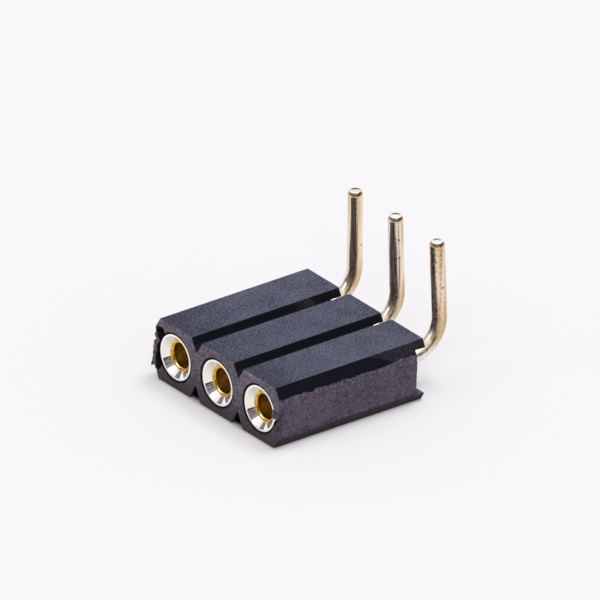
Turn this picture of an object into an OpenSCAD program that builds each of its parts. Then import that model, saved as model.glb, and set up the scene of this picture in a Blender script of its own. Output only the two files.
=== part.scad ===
/* [Strip] */
// Distance from one socket to the next
pitch = 2.54; // [2.4:0.01:4]
// Depth of the housing from the socket mouths to the back lips
body_len = 7; // [6:0.1:12]
// Height of the housing
body_h = 2.54; // [2.4:0.01:4]

/* [Snap notches] */
// Width of a whole V notch at the surface
notch_w = 0.66; // [0.3:0.02:0.9]
// Depth of a V notch, above and below
notch_d = 0.55; // [0.2:0.01:0.7]

/* [Back channel] */
// How far the back face lies in front of its two lips
channel_d = 0.48; // [0.2:0.02:0.8]
// Thickness of the upper lip
lip_top_t = 0.32; // [0.2:0.02:0.5]
// Thickness of the lower lip
lip_bottom_t = 0.32; // [0.2:0.02:0.5]

/* [Sleeve head] */
// Diameter of the sleeve's flanged head
head_d = 1.83; // [1.7:0.01:2]
// Length of the head along the socket
head_len = 0.55; // [0.3:0.05:1]
// How far the head lies below the housing's front face
head_sink = 0.03; // [0:0.01:0.1]
// Bevel round the head's outer edge
head_bevel = 0.03; // [0.01:0.01:0.06]
// Diameter of the funnel at its mouth
mouth_d = 1.66; // [1.5:0.01:1.68]
// Depth of the funnel from mouth to bore
funnel_d = 0.29; // [0.2:0.01:0.45]

/* [Sleeve barrel] */
// Outer diameter of the barrel
barrel_d = 1.34; // [1.26:0.01:1.44]
// Distance from the head's face to the end of the barrel
barrel_len = 4.2; // [3.8:0.1:4.8]
// Bevel at the end of the barrel
barrel_bevel = 0.12; // [0.05:0.01:0.2]
// Diameter of the bore that holds the clip
bore_d = 1.08; // [1:0.01:1.14]
// Depth of the straight part of the bore
bore_len = 3.3; // [2.6:0.1:3.4]
// Height of the drill cone at the bottom of the bore
drill_tip = 0.3; // [0.1:0.05:0.35]

/* [Retaining ridge] */
// Diameter of the ridge that grips the plastic
ridge_d = 1.44; // [1.4:0.01:1.5]
// Distance from the head's face to the ridge
ridge_at = 1.8; // [1:0.1:2.6]
// Length of the ridge
ridge_len = 0.4; // [0.2:0.05:0.8]

/* [Solder tail] */
// Diameter of the tail
tail_d = 0.58; // [0.4:0.01:0.8]
// Distance from the housing's back to the upright part's centre line
tail_run = 1.47; // [1.2:0.01:3]
// Radius of the bend along the centre line
bend_r = 1.35; // [0.9:0.05:1.4]
// Height of the tail's end above the housing's top
tail_rise = 3.26; // [2:0.01:6]
// How far the upright part leans back towards the sockets, in degrees
tail_lean = 2; // [0:0.5:6]
// Diameter of the flat end
tip_d = 0.4; // [0.2:0.01:0.42]
// Length of the cone behind the flat end
tip_len = 0.13; // [0.05:0.01:0.3]

/* [Spring clip] */
// Thickness of the clip's metal
clip_t = 0.06; // [0.04:0.005:0.08]
// Outer diameter of the flared lip
lip_d = 1.2; // [1.16:0.01:1.24]
// Radius of the rounded way in
lip_r = 0.12; // [0.08:0.01:0.12]
// Distance from the sleeve's face to where the fingers start
collar_end = 1; // [0.8:0.05:1.4]
// Distance from the sleeve's face to the fingers' ends
finger_end = 2.3; // [1.8:0.05:2.5]
// Opening between the fingers' ends, smaller than the pin that goes in
grip_d = 0.42; // [0.3:0.01:0.5]
// Length of the straight part at the fingers' ends that grips the pin
grip_len = 0.25; // [0.1:0.05:0.4]
// Width of each slot between two fingers
slot_w = 0.16; // [0.1:0.01:0.2]

/* [Clearances] */
// Gap round the sleeve's head
head_gap = 0.06; // [0.03:0.01:0.12]
// Gap round the barrel and its ridge
barrel_gap = 0.01; // [0.005:0.005:0.03]
// Gap round the tail where it passes through the back
tail_gap = 0.12; // [0.05:0.01:0.2]
// Gap round the clip in its bore
clip_gap = 0.005; // [0.002:0.001:0.01]

/* [Broken ends] */
// Width of the corner that broke off at the right end
corner_w = 0.34; // [0.2:0.02:0.4]
// Depth of that corner along the socket
corner_d = 0.3; // [0.1:0.05:0.6]
// Depth of the two hollows that broke out at the left end
hollow_d = 0.4; // [0.2:0.05:0.5]
// Width of the plastic left standing outside the hollows
wall_left = 0.17; // [0.1:0.01:0.2]
// Height of the bridge left between the hollows
bridge_h = 0.18; // [0.1:0.02:0.4]

/* [Hidden] */
$fn = 48;
positions = 3;
end_x = positions * pitch / 2;
front_y = -body_len / 2;
back_y = body_len / 2;
axis_h = body_h / 2;
cell_half = (pitch - notch_w) / 2;
hole_r = head_d / 2 + head_gap;
clip_or = bore_d / 2 - clip_gap;
clip_ir = clip_or - clip_t;
cone_run = (mouth_d - bore_d) / 2 / funnel_d;
lip_at = (mouth_d - lip_d) / 2 / cone_run;
over = 1;
arc_steps = 6;

function socket_x(i) = (i - (positions + 1) / 2) * pitch;

// Turns a shape drawn along +Z so that it runs into the housing from socket i's mouth
module at_socket(i) {
    translate([socket_x(i), front_y + head_sink, axis_h]) rotate([-90, 0, 0]) children();
}

// Front outline: one cell per socket, with a V notch at each line where the strip snaps
module strip_outline() {
    polygon(concat(
        [[-end_x, notch_d]],
        [for (i = [1:positions]) each [
            [socket_x(i) - cell_half, 0],
            [socket_x(i) + cell_half, 0],
            [socket_x(i) + pitch / 2, notch_d]]],
        [for (i = [positions:-1:1]) each [
            [socket_x(i) + pitch / 2, body_h - notch_d],
            [socket_x(i) + cell_half, body_h],
            [socket_x(i) - cell_half, body_h]]],
        [[-end_x, body_h - notch_d]]));
}

// Stepped hole: a pocket for the head, a bore for the barrel and ridge, a way out for the tail
module socket_hole() {
    translate([0, 0, -over]) cylinder(r = hole_r, h = over + head_len);
    cylinder(r = barrel_d / 2 + barrel_gap, h = barrel_len);
    translate([0, 0, ridge_at]) cylinder(r = ridge_d / 2 + barrel_gap, h = ridge_len);
    cylinder(r = tail_d / 2 + tail_gap, h = body_len + over);
}

// Channel across the back between the two lips
module back_channel() {
    translate([-end_x - over, back_y - channel_d, lip_bottom_t])
        cube([2 * (end_x + over), channel_d + over, body_h - lip_top_t - lip_bottom_t]);
}

// Corner that came away with the next cell at the right end
module broken_corner() {
    translate([end_x, front_y, notch_d]) linear_extrude(height = body_h - 2 * notch_d)
        polygon([[-corner_w, 0], [0, corner_d], [over, corner_d], [over, -over], [-corner_w, -over]]);
}

// Hollows beside the first socket, where the thin wall crumbled on each side of a small bridge
module broken_hollows() {
    inner = end_x - wall_left;
    half = body_h / 2 - notch_d;
    rise = bridge_h / 2;
    bridge_at = axis_h + half / 2;
    translate([0, front_y + hollow_d, 0]) rotate([90, 0, 0]) linear_extrude(height = hollow_d + over) {
        polygon([
            [-inner, notch_d + wall_left], [-inner + wall_left, notch_d], [socket_x(1) - hole_r / 2, axis_h],
            [-inner + wall_left, bridge_at - rise], [-inner, bridge_at - rise]]);
        polygon([
            [-inner, bridge_at + rise], [socket_x(1) - hole_r / 2, bridge_at + rise],
            [-inner + wall_left, body_h - notch_d + wall_left], [-inner, body_h - notch_d]]);
    }
}

module housing() {
    color([0.10, 0.10, 0.12]) difference() {
        rotate([90, 0, 0]) linear_extrude(height = body_len, center = true) strip_outline();
        back_channel();
        for (i = [1:positions]) at_socket(i) socket_hole();
        broken_corner();
        broken_hollows();
    }
}

// Turned body of the sleeve: head, barrel, ridge, funnel and blind bore
module sleeve_body() {
    rotate_extrude() polygon([
        [mouth_d / 2, 0],
        [head_d / 2 - head_bevel, 0],
        [head_d / 2, head_bevel],
        [head_d / 2, head_len],
        [barrel_d / 2, head_len],
        [barrel_d / 2, ridge_at],
        [ridge_d / 2, ridge_at],
        [barrel_d / 2, ridge_at + ridge_len],
        [barrel_d / 2, barrel_len - barrel_bevel],
        [barrel_d / 2 - barrel_bevel, barrel_len],
        [0, barrel_len],
        [0, bore_len + drill_tip],
        [bore_d / 2, bore_len],
        [bore_d / 2, funnel_d]]);
}

// Tail: straight out of the back, round the bend, then up to its coned end
module sleeve_tail() {
    bend_y = back_y + tail_run - bend_r;
    bend_z = axis_h + bend_r;
    root_y = front_y + head_sink + bore_len + drill_tip + barrel_bevel;
    straight = (body_h + tail_rise - bend_z) / cos(tail_lean) - bend_r * tan(tail_lean);
    translate([0, root_y, axis_h]) rotate([-90, 0, 0]) cylinder(d = tail_d, h = bend_y - root_y);
    translate([0, bend_y, bend_z]) rotate([0, 90, 0])
        rotate_extrude(angle = 90 + tail_lean) translate([bend_r, 0]) circle(d = tail_d);
    translate([0, bend_y, bend_z]) rotate([tail_lean, 0, 0]) translate([0, bend_r, 0]) {
        cylinder(d = tail_d, h = straight - tip_len);
        translate([0, 0, straight - tip_len]) cylinder(d1 = tail_d, d2 = tip_d, h = tip_len);
    }
}

module sleeve(i) {
    color([0.86, 0.80, 0.68]) union() {
        at_socket(i) sleeve_body();
        translate([socket_x(i), 0, 0]) sleeve_tail();
    }
}

// Spring clip: flared lip on the funnel, plain collar, then four fingers that close on the pin
module clip(i) {
    lip_z = lip_at - clip_gap;
    color([0.93, 0.72, 0.20]) at_socket(i) difference() {
        rotate_extrude() polygon(concat(
            [for (k = [0:arc_steps]) let (a = 90 * k / arc_steps)
                [clip_ir + lip_r * (1 - sin(a)), lip_z + lip_r * (1 - cos(a))]],
            [[clip_ir, collar_end],
            [grip_d / 2, finger_end - grip_len],
            [grip_d / 2, finger_end],
            [grip_d / 2 + clip_t, finger_end],
            [grip_d / 2 + clip_t, finger_end - grip_len],
            [clip_or, collar_end],
            [clip_or, funnel_d],
            [lip_d / 2 - clip_gap, lip_at]]));
        for (a = [45, 135]) rotate([0, 0, a]) translate([-over, -slot_w / 2, collar_end])
            cube([2 * over, slot_w, finger_end]);
    }
}

housing();
sleeve(1);  // sleeve_1
sleeve(2);  // sleeve_2
sleeve(3);  // sleeve_3
clip(1);  // clip_1
clip(2);  // clip_2
clip(3);  // clip_3
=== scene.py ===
import math

import bmesh
import bpy
from mathutils import Matrix, Vector, noise


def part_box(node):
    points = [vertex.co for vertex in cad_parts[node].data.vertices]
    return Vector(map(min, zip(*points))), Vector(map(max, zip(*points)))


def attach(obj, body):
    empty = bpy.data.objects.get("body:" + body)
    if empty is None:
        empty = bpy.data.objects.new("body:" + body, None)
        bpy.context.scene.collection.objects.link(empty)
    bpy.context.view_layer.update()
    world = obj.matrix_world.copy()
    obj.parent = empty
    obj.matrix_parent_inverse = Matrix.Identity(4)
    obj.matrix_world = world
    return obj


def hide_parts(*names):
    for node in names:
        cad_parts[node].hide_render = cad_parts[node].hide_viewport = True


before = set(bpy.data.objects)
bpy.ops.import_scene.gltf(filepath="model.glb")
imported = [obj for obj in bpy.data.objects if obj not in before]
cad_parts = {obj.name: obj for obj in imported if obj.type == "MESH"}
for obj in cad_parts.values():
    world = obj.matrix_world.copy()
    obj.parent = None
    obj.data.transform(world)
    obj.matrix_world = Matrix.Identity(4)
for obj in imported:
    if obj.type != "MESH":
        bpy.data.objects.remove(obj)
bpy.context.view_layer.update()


# Housing: one block of black glass filled plastic, moulded as a long strip and snapped to length.
# Its flats have a fine spark finish and its notch walls are polished. Both ends are torn where the
# strip broke, and beside the first socket the thin wall has crumbled away.
MM = 0.001
SOCKETS = 3
PITCH = 2.54
# The two whole notches below are deeper than the rest by the undercut
NOTCH_WIDTH, NOTCH_DEPTH, UNDERCUT = 0.66, 0.55, 0.10
LIP, CHANNEL = 0.32, 0.48
POCKET_RADIUS, POCKET_DEPTH = 0.975, 0.55
BARREL_HOLE_RADIUS, BARREL_HOLE_DEPTH = 0.68, 4.2
TAIL_HOLE_RADIUS = 0.41
EDGE_RADIUS = 0.035
# Stub of the next cell that the torn ends cut off, and how far a cut reaches outside the plastic
OVERHANG = 0.5
BEYOND = 1.0

housing_low, housing_high = (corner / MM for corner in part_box("housing"))
FRONT, BACK, TOP = housing_low.y, housing_high.y, housing_high.z
MIDDLE = TOP / 2
END_X = SOCKETS * PITCH / 2
socket_places = [(number - (SOCKETS - 1) / 2) * PITCH for number in range(SOCKETS)]
# Dull patch on the right end's upper wall: where its border leaves the top edge, over what run and
# how far that falls, and how dull the patch is
PATCH_START, PATCH_RUN, PATCH_FALL, PATCH_DULLNESS = 0.86, 1.28, 0.49, 0.13
# Share of a normal in one direction from which a face counts as turned that way
FACING = (0.6, 0.75)
# How far back the painted shade on the tops reaches, and between which heights the painted shade on
# the fronts grows
TOP_SHADE_FADE, FOOT_SHADE_FADE = 2.5, (0.1, 1.5)


class Signal:
    """An output in a shader's tree. Sums and products of signals add the Math nodes for them."""

    def __init__(self, tree, socket=None):
        self.tree = tree
        self.socket = socket

    def node(self, kind, settings=None, values=None, output=0):
        """Adds any node: its settings first, then the values or links of its sockets."""
        added = self.tree.nodes.new(kind)
        for name, value in (settings or {}).items():
            if name == "stops":
                ramp = added.color_ramp.elements
                for position, colour in value[1:-1]:
                    ramp.new(position)
                for stop, (position, colour) in zip(ramp, value):
                    stop.color = colour
            else:
                setattr(added, name, value)
        for name, value in (values or {}).items():
            if isinstance(value, Signal):
                self.tree.links.new(value.socket, added.inputs[name])
            else:
                added.inputs[name].default_value = value
        return Signal(self.tree, added.outputs[output] if added.outputs else None)

    def math(self, operation, *terms):
        return self.node("ShaderNodeMath", {"operation": operation}, dict(enumerate(terms)))

    def vector(self, operation, *terms, output=0):
        """Vector arithmetic. Output 1 is for operations whose result is a number."""
        settings = {"operation": operation}
        return self.node("ShaderNodeVectorMath", settings, dict(enumerate(terms)), output)

    def __add__(self, other):
        return self.math("ADD", self, other)

    def __sub__(self, other):
        return self.math("SUBTRACT", self, other)

    def __mul__(self, other):
        return self.math("MULTIPLY", self, other)

    def __rsub__(self, other):
        return self.math("SUBTRACT", other, self)

    __radd__ = __add__
    __rmul__ = __mul__

    def step(self, low, high):
        """0 below low and 1 above high, with a soft change between them."""
        return self.node("ShaderNodeMapRange", {"interpolation_type": "SMOOTHSTEP"},
                         {"Value": self, "From Min": low, "From Max": high})

    def noise(self, per_mm, detail):
        """Noise with so many lumps to a millimetre. Nearly all of it lies between 0.3 and 0.7."""
        return self.node("ShaderNodeTexNoise", None,
                         {"Vector": self, "Scale": per_mm, "Detail": detail})

    def stretch(self, scale):
        """This vector times another, part by part."""
        return self.vector("MULTIPLY", self, scale)

    def along(self, direction):
        """How far this vector reaches in a direction."""
        return self.vector("DOT_PRODUCT", self, direction, output=1)

    def part(self, axis):
        """One of the three numbers in this vector."""
        return self.node("ShaderNodeSeparateXYZ", None, {0: self}, "XYZ".index(axis))

    def size(self):
        """This number without its sign."""
        return self.math("ABSOLUTE", self)

    def near(self, point, radius, core=0.6):
        """1 in the core of a ball round a point, and 0 outside the ball."""
        gap = self.vector("DISTANCE", self, point, output=1)
        return 1 - gap.step(radius * core, radius)

    def tint(self, low, high):
        """A colour that goes from low to high as this value goes from 0 to 1."""
        return self.node("ShaderNodeMix", {"data_type": "RGBA"}, {0: self, 6: low, 7: high}, 2)


def rgb(red, green, blue):
    return (red, green, blue, 1)


def new_material(name):
    """An empty material, and the place in millimetres that its textures start from."""
    material = bpy.data.materials.new(name)
    material.use_nodes = True
    material.node_tree.nodes.clear()
    place = Signal(material.node_tree).node("ShaderNodeTexCoord", output=3)
    return material, place.stretch((1 / MM,) * 3)


def finish_material(place, **values):
    """Ends a material in a Principled shader. Names of sockets are written with underscores."""
    sockets = {}
    for name, value in values.items():
        sockets[name.replace("_", " ").title().replace("Ior", "IOR")] = value
    shader = place.node("ShaderNodeBsdfPrincipled", None, sockets)
    place.node("ShaderNodeOutputMaterial", None, {"Surface": shader})


def bump(height, depth):
    """A normal from a height between 0 and 1 that stands for so many millimetres."""
    return height.node("ShaderNodeBump", None, {"Height": height, "Distance": depth * MM})


def moulded_plastic():
    """Fine spark finish on the flats, and polish on the notch walls.

    At the right end the upper wall has a dull patch, and the lower wall is scuffed all over
    and darker there with painted shade."""
    material, place = new_material("moulded black plastic")
    grain = place.noise(11, 3).step(0.34, 0.66)
    cloud = place.noise(1.1, 3).step(0.3, 0.7)
    normal = place.node("ShaderNodeNewGeometry", output=1)
    polished = normal.part("X").size().step(*FACING)
    level = normal.part("Z").size().step(*FACING)
    at_end = place.part("X").step(END_X - NOTCH_WIDTH, END_X - NOTCH_WIDTH / 2)
    border = TOP / PATCH_FALL + PATCH_START / PATCH_RUN
    patch = place.along((0, 1 / PATCH_RUN, 1 / PATCH_FALL)) - border
    patch = patch.step(-0.01, 0.01) * at_end * PATCH_DULLNESS
    # Lower wall at the right end: scuffed and rough, and its darker colour is painted shade
    scuffed = at_end * polished * (1 - place.part("Z").step(MIDDLE - 0.1, MIDDLE))
    dull = 1 - polished * (1 - patch.math("MAXIMUM", patch, scuffed))
    # Painted shade: the tops darker in front, most of all on the outer cells, and the fronts at the
    # foot
    top_front_shade = level * (1 - place.part("Y").step(FRONT, FRONT + TOP_SHADE_FADE))
    outer = place.part("X").size().step(0.6, 2) * 0.12 + place.part("X").step(1, 2.5) * 0.08
    foot_shade = (1 - level) * (1 - place.part("Z").step(*FOOT_SHADE_FADE))
    tone = grain * 0.75 + cloud * 0.25 - top_front_shade * (0.24 + outer) - foot_shade * 0.75
    # Painted light: the tops get a bluer tint and the fronts a lighter, pinker one, by the way a
    # face turns
    top = tone.tint(rgb(0.001, 0.002, 0.025), rgb(0.119, 0.124, 0.191))
    front = tone.tint(rgb(0.022, 0.013, 0.026), rgb(0.190, 0.158, 0.221))
    scuffs_and_shade = (grain * 0.6).tint(rgb(0.010, 0.005, 0.010), rgb(0.050, 0.036, 0.052))
    flat = scuffed.tint(level.tint(front, top), scuffs_and_shade)
    finish_material(
        place, base_color=dull.tint(rgb(0.010, 0.010, 0.017), flat),
        roughness=dull.step(0, 0.3) * (0.32 + grain * 0.12 + cloud * 0.12) + scuffed * 0.4 + 0.08,
        normal=bump(grain * dull, 0.016))
    return material


def torn_plastic(name, low, high, fibre):
    """Raw inside of the plastic where it tore: dull and grainy, with ends of glass fibre in it.

    Most fibre ends show along the upper edge, and the foot of the break is darker with painted
    shade."""
    material, place = new_material(name)
    grain = place.noise(9.5, 4).step(0.32, 0.68)
    cloud = place.noise(2, 3).step(0.3, 0.7)
    edge = place.part("Z").step(MIDDLE + 0.45, MIDDLE + 0.7)
    specks = place.noise(9, 1).step(0.59, 0.68)
    # Painted shade at the foot of the break
    foot_shade = 1 - place.part("Z").step(0.3, 0.8)
    colour = (grain * 0.75 + cloud * 0.25 - foot_shade * 0.25).tint(low, high)
    colour = (specks * (0.15 + edge * 0.45) * fibre).tint(colour, rgb(0.32, 0.26, 0.27))
    finish_material(place, base_color=colour, roughness=0.45 + grain * 0.2,
                    normal=bump(grain, 0.022))
    return material


def crumbled_plastic():
    """Loose olive edge of the wall that crumbled at the left end."""
    material, place = new_material("crumbled plastic")
    grain = place.noise(8, 3).step(0.40, 0.62)
    colour = grain.tint(rgb(0.004, 0.004, 0.003), rgb(0.150, 0.115, 0.045))
    finish_material(place, base_color=colour, roughness=0.55, normal=bump(grain, 0.03))
    return material


def scuffed_plastic():
    """Pale bruise where a knock pushed up the plastic."""
    material, place = new_material("scuffed plastic")
    colour = place.noise(14, 3).tint(rgb(0.16, 0.14, 0.18), rgb(0.55, 0.50, 0.55))
    finish_material(place, base_color=colour, roughness=0.6)
    return material


def scratch_object(name, bm, material=None):
    """An object in millimetres, to be cut or joined before it becomes a piece."""
    mesh = bpy.data.meshes.new(name)
    bm.to_mesh(mesh)
    bm.free()
    if material:
        mesh.materials.append(material)
    made = bpy.data.objects.new(name, mesh)
    bpy.context.scene.collection.objects.link(made)
    return made


def apply_modifiers(made):
    """Replaces the mesh by what its modifiers make of it."""
    shown = made.evaluated_get(bpy.context.evaluated_depsgraph_get())
    made.data = bpy.data.meshes.new_from_object(shown)
    made.modifiers.clear()


def carve(body, tool, operation="DIFFERENCE"):
    """Cuts one closed mesh with another, or joins them. The tool's material stays on its faces."""
    cut = body.modifiers.new("cut", "BOOLEAN")
    cut.solver = "MANIFOLD"
    cut.operation = operation
    cut.material_mode = "TRANSFER"
    cut.object = tool
    apply_modifiers(body)
    bpy.data.objects.remove(tool)


def round_edges(made, radius, least_angle=20, segments=3):
    """Rounds every outer edge that turns by that many degrees, and leaves inner corners sharp."""
    bm = bmesh.new()
    bm.from_mesh(made.data)
    weight = bm.edges.layers.float.new("bevel_weight_edge")
    for edge in bm.edges:
        edge[weight] = edge.is_convex and edge.calc_face_angle() > math.radians(least_angle)
    bm.to_mesh(made.data)
    bm.free()
    rounding = made.modifiers.new("rounding", "BEVEL")
    rounding.limit_method = "WEIGHT"
    rounding.width = radius
    rounding.segments = segments
    apply_modifiers(made)


def make_piece(made, node, place=(0, 0, 0), sharp_angle=35):
    """Makes an object in millimetres a piece of the part, which stands for a node of the frame."""
    made.data.transform(Matrix.Scale(MM, 4))
    bm = bmesh.new()
    bm.from_mesh(made.data)
    for face in bm.faces:
        face.smooth = True
    for edge in bm.edges:
        joined = len(edge.link_faces) == 2
        edge.smooth = joined and edge.calc_face_angle() < math.radians(sharp_angle)
    bm.to_mesh(made.data)
    bm.free()
    flatten = made.modifiers.new("flatten", "WEIGHTED_NORMAL")
    flatten.keep_sharp = True
    apply_modifiers(made)
    made.location = Vector(place) * MM
    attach(made, "root")
    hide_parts(node)


def rectangle(half_width, low, high):
    return [(-half_width, low), (half_width, low), (half_width, high), (-half_width, high)]


def prism(outline, start, end):
    """A closed bar along Y with an outline of points in X and Z."""
    bm = bmesh.new()
    near, far = ([bm.verts.new((x, y, z)) for x, z in outline] for y in (start, end))
    for a in range(len(outline)):
        b = (a + 1) % len(outline)
        bm.faces.new((near[a], far[a], far[b], near[b]))
    bm.faces.new(near)
    bm.faces.new(far)
    bmesh.ops.recalc_face_normals(bm, faces=bm.faces)
    return bm


def lathe(profile, segments=96):
    """A closed turned body about the Y axis, from a loop of points of radius and depth."""
    bm = bmesh.new()
    turns = [math.tau * index / segments for index in range(segments)]
    rings = []
    for radius, depth in profile:
        if radius:
            circle = [(radius * math.cos(turn), depth, radius * math.sin(turn)) for turn in turns]
            rings.append([bm.verts.new(point) for point in circle])
        else:
            rings.append([bm.verts.new((0, depth, 0))] * segments)
    for near, far in zip(rings, rings[1:] + rings[:1]):
        for a in range(segments):
            corners = dict.fromkeys((near[a], near[a - 1], far[a - 1], far[a]))
            if len(corners) > 2:
                bm.faces.new(corners)
    bmesh.ops.recalc_face_normals(bm, faces=bm.faces)
    return bm


def strip_outline():
    """Front outline of the strip, with a stub of the next cell past each end notch."""
    below = [(-END_X - OVERHANG, 0)]
    for line in range(SOCKETS + 1):
        x = line * PITCH - END_X
        depth = NOTCH_DEPTH + (UNDERCUT if 0 < line < SOCKETS else 0)
        below += [(x - NOTCH_WIDTH / 2, 0), (x, depth), (x + NOTCH_WIDTH / 2, 0)]
    below.append((END_X + OVERHANG, 0))
    above = [(x, TOP - min(z, NOTCH_DEPTH)) for x, z in reversed(below)]
    return below + above


def height_on(line, at):
    """Straight line between the points of a profile, and level past its ends."""
    for (low, start), (high, end) in zip(line, line[1:]):
        if at < high:
            return start + (end - start) * max(0, (at - low) / (high - low))
    return line[-1][1]


def rough(point, lump, seed, octaves=4):
    """Fractal roughness from about -1 to 1, with lumps of that size and finer, fainter octaves."""
    fainter, finer = 0.9, 2.1
    return noise.fractal(Vector(point) / lump + Vector((seed,) * 3), fainter, finer, octaves)


def torn_end(side, seed, rim):
    """A block whose inner face is the rough break across one end of the strip.

    The rim lists how far the break stands out from the snap line at the front, height by height.
    Behind the rim the break is wavy, lies a little inside the line, and falls back at the edges."""
    cell, margin = 0.035, 0.2
    wave, wave_depth = 0.9, 0.035
    setback, least_setback = 0.03, 0.015
    edge_reach, edge_fall = 0.7, 0.03
    grain, grain_depth = 0.14, 0.022
    rim_length, rim_hold = 0.7, 1.6
    half_length, half_height = (BACK - FRONT) / 2 + margin, MIDDLE + margin
    bm = bmesh.new()
    bmesh.ops.create_grid(bm, x_segments=round(2 * half_length / cell),
                          y_segments=round(2 * half_height / cell), size=1)
    for vertex in bm.verts:
        y, z = vertex.co.x * half_length, MIDDLE + vertex.co.y * half_height
        waves = wave_depth * rough((0, y, z), wave, seed)
        fall = edge_fall * min(1, abs(z - MIDDLE) / edge_reach) ** 4
        inner = min(-least_setback, waves - setback - fall)
        at_rim = min(1, rim_hold * max(0, 1 - (y - FRONT) / rim_length))
        out = inner + (height_on(rim, z) - inner) * at_rim
        out += grain_depth * rough((0, y, z), grain, seed + 5, octaves=3)
        vertex.co = (side * (END_X + out), y, z)
    outer = bmesh.ops.extrude_face_region(bm, geom=bm.faces[:])["geom"]
    for vertex in outer:
        if isinstance(vertex, bmesh.types.BMVert):
            vertex.co.x = side * (END_X + BEYOND)
    bmesh.ops.recalc_face_normals(bm, faces=bm.faces)
    return bm


def rough_ball(centre, radii, seed, depth=0.2):
    """A lumpy ball: taken out of the plastic it leaves a chip, and added to it a flake."""
    bm = bmesh.new()
    bmesh.ops.create_icosphere(bm, subdivisions=4, radius=1)
    for vertex in bm.verts:
        way = vertex.co.normalized()
        swell = 1 + depth * rough(way, lump=0.5, seed=seed, octaves=5)
        vertex.co = [c + r * w * swell for c, r, w in zip(centre, radii, way)]
    return bm


moulded = moulded_plastic()
torn = torn_plastic(
    "torn black plastic", rgb(0.012, 0.008, 0.022), rgb(0.126, 0.099, 0.155), fibre=1)
# Near-black copy of the torn plastic: painted shade for the deep hollows and the socket holes' walls
shaded_torn = torn_plastic(
    "deep torn plastic", rgb(0.002, 0.002, 0.003), rgb(0.012, 0.010, 0.013), fibre=0.1)
crumbled = crumbled_plastic()
scuffed = scuffed_plastic()

# The moulding, with the channel across its back and a stepped hole for each sleeve
housing = scratch_object("moulded_housing", prism(strip_outline(), FRONT, BACK), moulded)
channel = prism(rectangle(END_X + BEYOND, LIP, TOP - LIP), BACK - CHANNEL, BACK + BEYOND)
carve(housing, scratch_object("channel", channel, moulded))
round_edges(housing, EDGE_RADIUS)
for x in socket_places:
    mouth_radius = POCKET_RADIUS + EDGE_RADIUS
    hole = lathe([
        (0, -BEYOND), (mouth_radius, -BEYOND), (mouth_radius, 0),
        (POCKET_RADIUS + EDGE_RADIUS / 4, EDGE_RADIUS / 3), (POCKET_RADIUS, EDGE_RADIUS),
        (POCKET_RADIUS, POCKET_DEPTH), (BARREL_HOLE_RADIUS, POCKET_DEPTH),
        (BARREL_HOLE_RADIUS, BARREL_HOLE_DEPTH), (TAIL_HOLE_RADIUS, BARREL_HOLE_DEPTH),
        (TAIL_HOLE_RADIUS, BACK - FRONT + BEYOND), (0, BACK - FRONT + BEYOND)])
    bmesh.ops.translate(hole, verts=hole.verts, vec=(x, FRONT, MIDDLE))
    # The hole's walls take the near-black plastic, as painted shade
    carve(housing, scratch_object("socket_hole", hole, shaded_torn))

# Both breaks. A rim's points are heights, and how far the plastic stands past the snap line there
right_rim = [(0, -0.06), (0.6, -0.04), (1.9, -0.04), (2.2, -0.07)]
left_rim = [(0.34, -0.14), (0.40, 0.14), (0.90, 0.13), (1.25, 0.08), (1.42, 0.07), (1.58, -0.10),
            (1.66, -0.10), (1.74, -0.03), (2.0, -0.02), (2.3, -0.10)]
carve(housing, scratch_object("torn_end", torn_end(side=1, seed=3, rim=right_rim), torn))
crumb = rough_ball((-3.77, FRONT + 0.32, 0.54), (0.14, 0.32, 0.13), seed=5)
carve(housing, scratch_object("crumb", crumb, crumbled), "UNION")
carve(housing, scratch_object("torn_end", torn_end(side=-1, seed=11, rim=left_rim), torn))

# Each chip and burr has its centre and its radii, and a chip has the finish that it leaves
chips = [
    ((3.88, FRONT - 0.06, 1.14), (0.42, 0.42, 0.66), torn),
    ((-3.78, FRONT + 0.10, 0.10), (0.22, 0.50, 0.28), torn),
    ((-3.86, FRONT - 0.13, 1.05), (0.30, 0.20, 0.78), crumbled),
    ((-3.82, FRONT - 0.10, 1.95), (0.22, 0.17, 0.32), crumbled),
    ((-3.70, FRONT - 0.10, 1.52), (0.26, 0.14, 0.17), torn),
    # These last three chips are deep hollows coloured with painted shade
    ((-3.43, FRONT - 0.02, 2.03), (0.24, 1.1, 0.19), shaded_torn),
    ((-3.47, FRONT - 0.02, 1.80), (0.15, 1.1, 0.16), shaded_torn),
    ((-3.50, FRONT - 0.02, 0.96), (0.22, 1.3, 0.58), shaded_torn),
]
for seed, (centre, radii, finish) in enumerate(chips):
    carve(housing, scratch_object("chip", rough_ball(centre, radii, seed), finish))
flake = rough_ball((3.46, FRONT + 0.02, 1.40), (0.13, 0.055, 0.20), seed=8)
carve(housing, scratch_object("flake", flake, torn), "UNION")
burrs = [((1.88, FRONT + 0.006, TOP - 0.050), (0.14, 0.016, 0.020)),
         ((2.03, FRONT + 0.006, TOP - 0.075), (0.09, 0.024, 0.034))]
for seed, (centre, radii) in enumerate(burrs):
    burr = rough_ball(centre, radii, seed, depth=0.3)
    carve(housing, scratch_object("burr", burr, scuffed), "UNION")
make_piece(housing, "housing")


# Sleeves: turned from brass bar and plated. The head has a flat rim and a smooth funnel, and the
# tail behind the barrel is bent up with a hand tool after the sleeve is pressed into the housing.
HEAD_LENGTH, HEAD_BEVEL, MOUTH_BEVEL = 0.55, 0.02, 0.01
MOUTH_RADIUS, FUNNEL_DEPTH, BORE_RADIUS, BORE_DEPTH = 0.83, 0.29, 0.54, 3.3
BARREL_RADIUS, BARREL_LENGTH, BARREL_BEVEL, DRILL_TIP = 0.67, 4.2, 0.12, 0.3
TAIL_RADIUS, BEND_RADIUS, TAIL_LEAN = 0.29, 1.35, math.radians(2)
TIP_RADIUS, TIP_LENGTH = 0.215, 0.13
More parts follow.
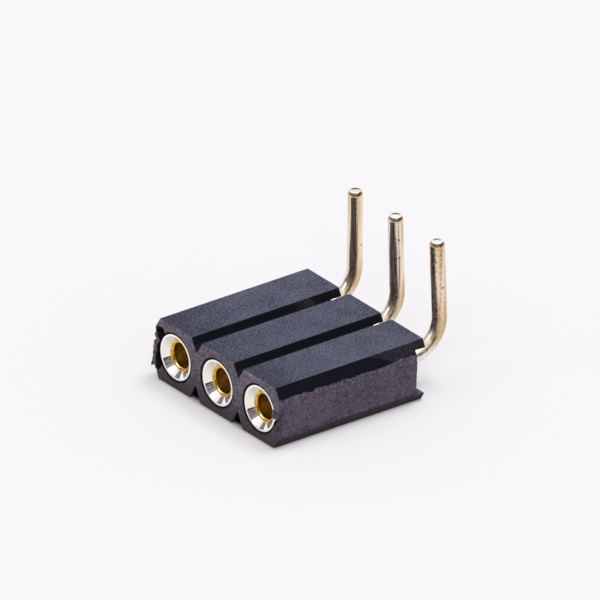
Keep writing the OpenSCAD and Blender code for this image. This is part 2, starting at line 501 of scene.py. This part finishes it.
# How far each tail sways to the side and back for each millimetre up, and reaches further out
TAIL_BENDS = [(0.016, 0, 0), (0, -0.017, 0.04), (0, -0.028, 0.06)]
TAIL_SEED = 7.3
# Small dark nicks in the tails, as places in the strip
NICKS = [(2.70, 4.65, 5.04), (2.83, 4.90, 3.94), (0.28, 4.84, 4.14), (0.28, 4.80, 4.90),
         (-2.31, 5.07, 4.70), (-2.26, 5.01, 3.58)]
NICK_RADIUS = 0.06
# Streaks to a millimetre across and along the tails, and the way that the side with a painted brown
# reflection faces
STREAKS = (7, 7, 0.35)
BROWN_REFLECTION_SIDE = (0.62, 0.78, 0)

sleeve_low, sleeve_high = (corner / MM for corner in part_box("sleeve_2"))
FACE = sleeve_low.y
HEAD_RADIUS = MIDDLE - sleeve_low.z
TAIL_AXIS, TAIL_TOP = sleeve_high.y - TAIL_RADIUS, sleeve_high.z


def plated_brass():
    """Bright on the turned head, warmer and streaked along the drawn tail, bare at the cut tip.

    The left tail is the yellowest and the right one the coarsest."""
    material, place = new_material("plated brass")
    spot = place.node("ShaderNodeNewGeometry").stretch((1 / MM,) * 3)
    normal = place.node("ShaderNodeNewGeometry", output=1)
    drawn = spot.stretch(STREAKS).noise(1, 2).step(0.3, 0.7)
    marks = spot.noise(11, 4).step(0.34, 0.66)
    nicks = sum((spot.near(point, NICK_RADIUS) for point in NICKS), start=0)
    on_tail = place.part("Y").step(HEAD_LENGTH, BARREL_LENGTH)
    height = place.part("Z")
    bent = 1 - height.step(BEND_RADIUS - 0.3, BEND_RADIUS + 1.2)
    coarse = spot.part("X").step(0.5, 2) * 0.7 + bent * 0.08
    yellow = 1 - spot.part("X").step(-1.6, -0.9)
    tone = drawn * (0.85 - coarse * 0.45) + marks * (0.15 + coarse * 0.25) - coarse * 0.1
    wire = place.node("ShaderNodeValToRGB", {"stops": [
        (0, rgb(0.40, 0.25, 0.12)), (0.25, rgb(0.66, 0.48, 0.30)), (0.55, rgb(0.84, 0.71, 0.53)),
        (1, rgb(0.94, 0.86, 0.72))]}, {0: tone})
    wire = (yellow * 0.35).tint(wire, rgb(0.80, 0.62, 0.32))
    # What the bends mirror is partly tinted in by the way that they face, and isn't a stain: brown
    # on one side, and pale on the rest of the lowest part
    brown_reflection = normal.along(BROWN_REFLECTION_SIDE).step(-0.7, 0.3) * height.step(0, 0.8)
    pale_reflection = (1 - height.step(0.5, 1.5)) * (1 - brown_reflection)
    wire = (pale_reflection * 0.8).tint(wire, rgb(0.93, 0.90, 0.84))
    wire = ((1 - height.step(0.8, 2.4)) * brown_reflection * 0.6).tint(wire, rgb(0.56, 0.41, 0.20))
    wire = (nicks * 0.85).tint(wire, rgb(0.16, 0.10, 0.05))
    # The cone at the tip is browner, and its flat cut end is bright
    tip_start = TAIL_TOP - MIDDLE - TIP_LENGTH
    tip = height.step(tip_start, tip_start + TIP_LENGTH / 2)
    cut_end = normal.part("Z").step(0.9, 0.97)
    wire = (tip * (1 - cut_end) * (0.45 + marks * 0.3)).tint(wire, rgb(0.34, 0.21, 0.09))
    wire = (tip * cut_end * (1 - yellow * marks * 0.8)).tint(wire, rgb(0.97, 0.94, 0.90))
    across = place.stretch((1, 0, 1))
    rim = across.vector("LENGTH", across, output=1).step(MOUTH_RADIUS - 0.02, MOUTH_RADIUS)
    head = rim.tint(rgb(0.90, 0.86, 0.80), rgb(0.98, 0.96, 0.93))
    wire_roughness = 0.06 + marks * 0.06 + coarse * 0.10 + bent * 0.06
    relief = drawn * 0.25 + marks * (0.15 + coarse * 0.12) - nicks
    finish_material(
        place, base_color=on_tail.tint(head, wire), metallic=1.0,
        roughness=0.07 + marks * 0.03 + on_tail * wire_roughness + tip * (1 - cut_end) * 0.1,
        normal=bump(on_tail * relief, 0.006))
    return material


def sleeve_profile():
    """Half section of the turned sleeve, from the bottom of the bore out to the barrel's end."""
    return [
        (0, BORE_DEPTH + DRILL_TIP), (BORE_RADIUS, BORE_DEPTH), (BORE_RADIUS, FUNNEL_DEPTH),
        (MOUTH_RADIUS - MOUTH_BEVEL, MOUTH_BEVEL), (MOUTH_RADIUS + MOUTH_BEVEL / 2, 0),
        (HEAD_RADIUS - HEAD_BEVEL, 0), (HEAD_RADIUS - HEAD_BEVEL / 4, HEAD_BEVEL / 3),
        (HEAD_RADIUS, HEAD_BEVEL), (HEAD_RADIUS, HEAD_LENGTH), (BARREL_RADIUS, HEAD_LENGTH),
        (BARREL_RADIUS, BARREL_LENGTH - BARREL_BEVEL),
        (BARREL_RADIUS - BARREL_BEVEL, BARREL_LENGTH), (0, BARREL_LENGTH)]


def tail_path():
    """Points and directions along the tail's centre line, from inside the barrel to the cone."""
    root_steps, bend_steps, upright_steps, root_depth = 6, 24, 20, 0.3
    root = Vector((0, BARREL_LENGTH - root_depth, 0))
    centre = Vector((0, TAIL_AXIS - FACE - BEND_RADIUS, BEND_RADIUS))
    bend_start = Vector((0, centre.y, 0))
    line = [(root.lerp(bend_start, n / root_steps), Vector((0, 1, 0))) for n in range(root_steps)]
    for n in range(bend_steps + 1):
        turn = (math.pi / 2 + TAIL_LEAN) * n / bend_steps
        line.append((centre + BEND_RADIUS * Vector((0, math.sin(turn), -math.cos(turn))),
                     Vector((0, math.cos(turn), math.sin(turn)))))
    start, way = line[-1]
    length = (TAIL_TOP - MIDDLE - start.z) / way.z - TIP_LENGTH
    # One close ring before the last keeps the cone's edge crisp
    for n in [*range(1, upright_steps), upright_steps - 0.2, upright_steps]:
        line.append((start + way * length * n / upright_steps, way))
    return line


def tail(seed, bend, segments=40):
    """The tail as a tube along its path, a little uneven as bent wire is, with a coned end."""
    side, back, reach = bend
    uneven, waves_per_mm = 0.012, 1.6
    rim_start, rim_outside, rim_inside = 0.94, 0.008, 0.012
    bm = bmesh.new()
    line = tail_path()
    sizes = [TAIL_RADIUS] * len(line) + [TIP_RADIUS + rim_outside, TIP_RADIUS - rim_inside]
    start, way = line[-1]
    line += [(start + way * TIP_LENGTH * rim_start, way), (start + way * TIP_LENGTH, way)]
    rings = []
    for (point, way), size in zip(line, sizes):
        across = Vector((1, 0, 0))
        out = across.cross(way)
        up = max(0, point.z - BEND_RADIUS / 2)
        past_barrel = min(1, max(0, (point.y - BARREL_LENGTH) / BEND_RADIUS))
        aside = Vector((side * up, back * up + reach * past_barrel, 0))
        ring = []
        for index in range(segments):
            turn = math.tau * index / segments
            spoke = across * math.cos(turn) + out * math.sin(turn)
            spot = (point + spoke * TAIL_RADIUS) * waves_per_mm + Vector((seed, 0, 0))
            swell = 1 + uneven * noise.noise(spot)
            ring.append(bm.verts.new(point + aside + spoke * size * swell))
        rings.append(ring)
    for near, far in zip(rings, rings[1:]):
        for a in range(segments):
            bm.faces.new((near[a - 1], near[a], far[a], far[a - 1]))
    bm.faces.new(rings[0])
    bm.faces.new(rings[-1])
    bmesh.ops.recalc_face_normals(bm, faces=bm.faces)
    return bm


plating = plated_brass()
for number, x in enumerate(socket_places, 1):
    sleeve = scratch_object(f"turned_sleeve_{number}", lathe(sleeve_profile()), plating)
    bent_tail = tail(number * TAIL_SEED, TAIL_BENDS[number - 1])
    carve(sleeve, scratch_object("tail", bent_tail, plating), "UNION")
    make_piece(sleeve, f"sleeve_{number}", (x, FACE, MIDDLE))


# Clips: stamped from thin spring copper, rolled into a cup and plated with gold. The rolled lip
# sits in the sleeve's funnel, and four fingers behind it close on the pin.
CLIP_THICKNESS, CLIP_GAP, LIP_RADIUS = 0.06, 0.005, 0.12
LIP_START, COLLAR_END, GRIP_RADIUS, GRIP_LENGTH, SLOT_WIDTH = 0.23, 1.0, 0.21, 0.25, 0.16
FINGER_END = (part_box("clip_2")[1] / MM).y - FACE
COLLAR_OUTSIDE = BORE_RADIUS - CLIP_GAP
COLLAR_INSIDE = COLLAR_OUTSIDE - CLIP_THICKNESS
# The way that the lip faces where the first lamp glints on it for the camera
GLINT_SIDE = (0.28, -0.72, 0.64)


def gold_plate():
    """Deep gold on the rolled lip, paler on the fingers inside, with faint marks from rolling.

    Part of the glint on the lip is tinted in, where the lip faces that way."""
    material, place = new_material("gold plate")
    marks = place.noise(7, 3).step(0.3, 0.7)
    lip = marks.tint(rgb(0.54, 0.29, 0.025), rgb(0.90, 0.58, 0.10))
    normal = place.node("ShaderNodeNewGeometry", output=1)
    lip = normal.along(GLINT_SIDE).step(0.93, 0.99).tint(lip, rgb(1.0, 0.90, 0.50))
    inside = place.part("Y").step(LIP_START, COLLAR_END / 2)
    finish_material(
        place, base_color=inside.tint(lip, rgb(0.96, 0.77, 0.32)), metallic=1.0,
        roughness=0.08 + marks * 0.06 + inside * 0.14, normal=bump(marks * (1 - inside), 0.003))
    return material


def clip_profile(lip_steps=8):
    """Half section of the clip: rolled lip, collar and fingers."""
    lip = []
    for index in range(lip_steps + 1):
        turn = math.pi / 2 * index / lip_steps
        lip.append((COLLAR_INSIDE + LIP_RADIUS * (1 - math.sin(turn)),
                    LIP_START - CLIP_GAP + LIP_RADIUS * (1 - math.cos(turn))))
    grip_outside = GRIP_RADIUS + CLIP_THICKNESS
    grip_start = FINGER_END - GRIP_LENGTH
    return lip + [
        (COLLAR_INSIDE, COLLAR_END), (GRIP_RADIUS, grip_start), (GRIP_RADIUS, FINGER_END),
        (grip_outside, FINGER_END), (grip_outside, grip_start), (COLLAR_OUTSIDE, COLLAR_END),
        (COLLAR_OUTSIDE, FUNNEL_DEPTH), (MOUTH_RADIUS - LIP_START - CLIP_GAP, LIP_START)]


gold = gold_plate()
for number, x in enumerate(socket_places, 1):
    clip = scratch_object(f"spring_clip_{number}", lathe(clip_profile()), gold)
    for turn in (45, 135):
        outline = rectangle(BEYOND, -SLOT_WIDTH / 2, SLOT_WIDTH / 2)
        slot = prism(outline, COLLAR_END, FINGER_END + BEYOND)
        turned = Matrix.Rotation(math.radians(turn), 3, "Y")
        bmesh.ops.rotate(slot, verts=slot.verts, matrix=turned)
        carve(clip, scratch_object("slot", slot, gold))
    make_piece(clip, f"clip_{number}", (x, FACE, MIDDLE))


# Table: a sheet of matt white board that the strip lies on. Seen straight or in metal, it is partly
# lifted to the white of the background, as an overexposed sheet is. Under the strip it is tinted
# nearly black, as in deep shade, from a little inside the outline.
FLOOR_SIZE = 500
BACKGROUND = rgb(0.956, 0.939, 0.947)
LIFT = 0.35
UNDER_FADE = 0.28


def is_seen(place):
    """1 for what is seen straight, in metal or through glass, and 0 for light on a matt face."""
    rays = [place.node("ShaderNodeLightPath", output=kind)
            for kind in ("Is Camera Ray", "Is Glossy Ray", "Is Transmission Ray")]
    return (rays[0] + rays[1] + rays[2]).step(0, 1)


def white_board():
    """Matt white, nearly black with painted shade under the strip, and lifted to the background's
    white elsewhere.
    """
    material, place = new_material("white board")
    beside = END_X - NOTCH_WIDTH / 2 - place.part("X").size()
    under = beside.math("MINIMUM", beside, BACK - place.part("Y").size())
    white = under.step(0, UNDER_FADE).tint(rgb(0.95, 0.93, 0.94), rgb(0.02, 0.02, 0.02))
    board = place.node("ShaderNodeBsdfDiffuse", None, {"Color": white})
    glare = place.node("ShaderNodeEmission", None, {"Color": BACKGROUND})
    lift = is_seen(place) * (1 - under.step(-UNDER_FADE / 2, 0)) * LIFT
    place.node("ShaderNodeOutputMaterial", None, {
        "Surface": place.node("ShaderNodeMixShader", None, {0: lift, 1: board, 2: glare})})
    return material


table = bmesh.new()
bmesh.ops.create_grid(table, x_segments=1, y_segments=1, size=FLOOR_SIZE / 2)
floor = scratch_object("table", table, white_board())
floor.data.transform(Matrix.Scale(MM, 4))


# Screen: the dark room beyond the tent, which only shiny surfaces see. Each point of its skyline
# is a direction round the table, and where the dark starts and ends above it, all in degrees.
SCREEN_DISTANCE = 60 * MM
SKYLINE = [
    (-180, 24, 34), (-160, 24, 34), (-156, 3, 36), (-142, 3, 36), (-138, 3, 26), (-94, 3, 26),
    (-88, 3, 46), (-58, 3, 50), (-20, 3, 50), (-8, 3, 23), (8, 3, 23), (20, 3, 35), (58, 3, 35),
    (72, 3, 23), (150, 3, 23), (162, 3, 34), (176, 3, 34), (180, 24, 34)]


def black_screen(count=180):
    """A ring round the strip, between the lower and the upper line of the dark."""
    lower, upper = ([(way, edges[end]) for way, *edges in SKYLINE] for end in (0, 1))
    bm = bmesh.new()
    rings = []
    for line in (lower, upper):
        ring = []
        for index in range(count):
            degrees = 360 * index / count - 180
            way, rise = math.radians(degrees), math.radians(height_on(line, degrees))
            point = Vector((math.cos(way), math.sin(way), math.tan(rise)))
            ring.append(bm.verts.new(point * SCREEN_DISTANCE))
        rings.append(ring)
    low, high = rings
    for a in range(count):
        bm.faces.new((low[a - 1], low[a], high[a], high[a - 1]))
    return bm


def dark_room():
    """Black, with grey things in it in front of the strip, above the lowest part of the ring."""
    material, place = new_material("dark room")
    things = place.stretch((1, 1, 0.6)).noise(0.16, 1).step(0.35, 0.60) * 0.6 + 0.4
    things = things * (1 - place.part("Y").step(-30, -10)) * place.part("Z").step(8, 11)
    colour = things.tint(rgb(0.010, 0.010, 0.012), rgb(0.42, 0.39, 0.40))
    finish_material(place, base_color=colour, roughness=1.0, specular_ior_level=0.0)
    return material


screen = scratch_object("screen", black_screen(), dark_room())
screen.visible_camera = False
screen.visible_diffuse = False
screen.visible_shadow = False


# Light: a white tent all round, and three soft lamps far enough off to light the board evenly. Each
# lamp has its place and its size in metres, the power that it gives and its colour.
LAMPS = [
    ((-0.16, -0.58, 0.54), 0.30, 0.5, (1.0, 0.95, 0.93)),
    ((0.48, -0.40, 0.50), 0.30, 0.8, (1.0, 0.95, 0.93)),
    ((0.02, 0.20, 0.74), 0.35, 2.55, (0.93, 0.95, 1.0)),
]
# Strength of the tent where it is seen or mirrored, and where it only lights a matt face
TENT_SEEN, TENT_LIGHT = 1.0, 0.5

tent = bpy.data.worlds.new("tent")
tent.use_nodes = True
tent.node_tree.nodes.clear()
ray = Signal(tent.node_tree)
direct = ray.node("ShaderNodeLightPath", output="Is Camera Ray")
sky = ray.node("ShaderNodeBackground", None, {
    "Color": direct.tint(rgb(1, 1, 1), BACKGROUND),
    "Strength": is_seen(ray) * (TENT_SEEN - TENT_LIGHT) + TENT_LIGHT})
ray.node("ShaderNodeOutputWorld", None, {"Surface": sky})
bpy.context.scene.world = tent

for spot, size, power, colour in LAMPS:
    lamp = bpy.data.lights.new("soft lamp", "AREA")
    lamp.size = size
    lamp.energy = power
    lamp.color = colour
    lamp_object = bpy.data.objects.new("soft lamp", lamp)
    lamp_object.location = spot
    lamp_object.rotation_euler = Vector(spot).to_track_quat("Z", "Y").to_euler()
    bpy.context.scene.collection.objects.link(lamp_object)


# Camera: a long lens from the front right, so far off that parallel edges stay parallel. The aim is
# the middle of the housing, given with its place right of and above the middle of the picture.
AZIMUTH, ELEVATION, ROLL = math.radians(51.35), math.radians(27.27), math.radians(1.43)
PHOTO_SPAN = 22.354 * MM
AIM = Vector((0, 0, 1.27)) * MM
AIM_RIGHT, AIM_UP = -0.347 * MM, -2.171 * MM
CAMERA_DISTANCE = 300 * MM
to_camera = Vector((math.sin(AZIMUTH) * math.cos(ELEVATION),
                    -math.cos(AZIMUTH) * math.cos(ELEVATION), math.sin(ELEVATION)))
level = Vector((math.cos(AZIMUTH), math.sin(AZIMUTH), 0))
upright = to_camera.cross(level)
right = level * math.cos(ROLL) + upright * math.sin(ROLL)
up = upright * math.cos(ROLL) - level * math.sin(ROLL)
lens = bpy.data.cameras.new("camera")
lens.type = "ORTHO"
lens.ortho_scale = PHOTO_SPAN
camera = bpy.data.objects.new("camera", lens)
stand = AIM - right * AIM_RIGHT - up * AIM_UP + to_camera * CAMERA_DISTANCE
view = Matrix((right, up, to_camera)).transposed().to_4x4()
camera.matrix_world = Matrix.Translation(stand) @ view
bpy.context.scene.collection.objects.link(camera)
bpy.context.scene.camera = camera
bpy.context.scene.view_settings.view_transform = "Standard"
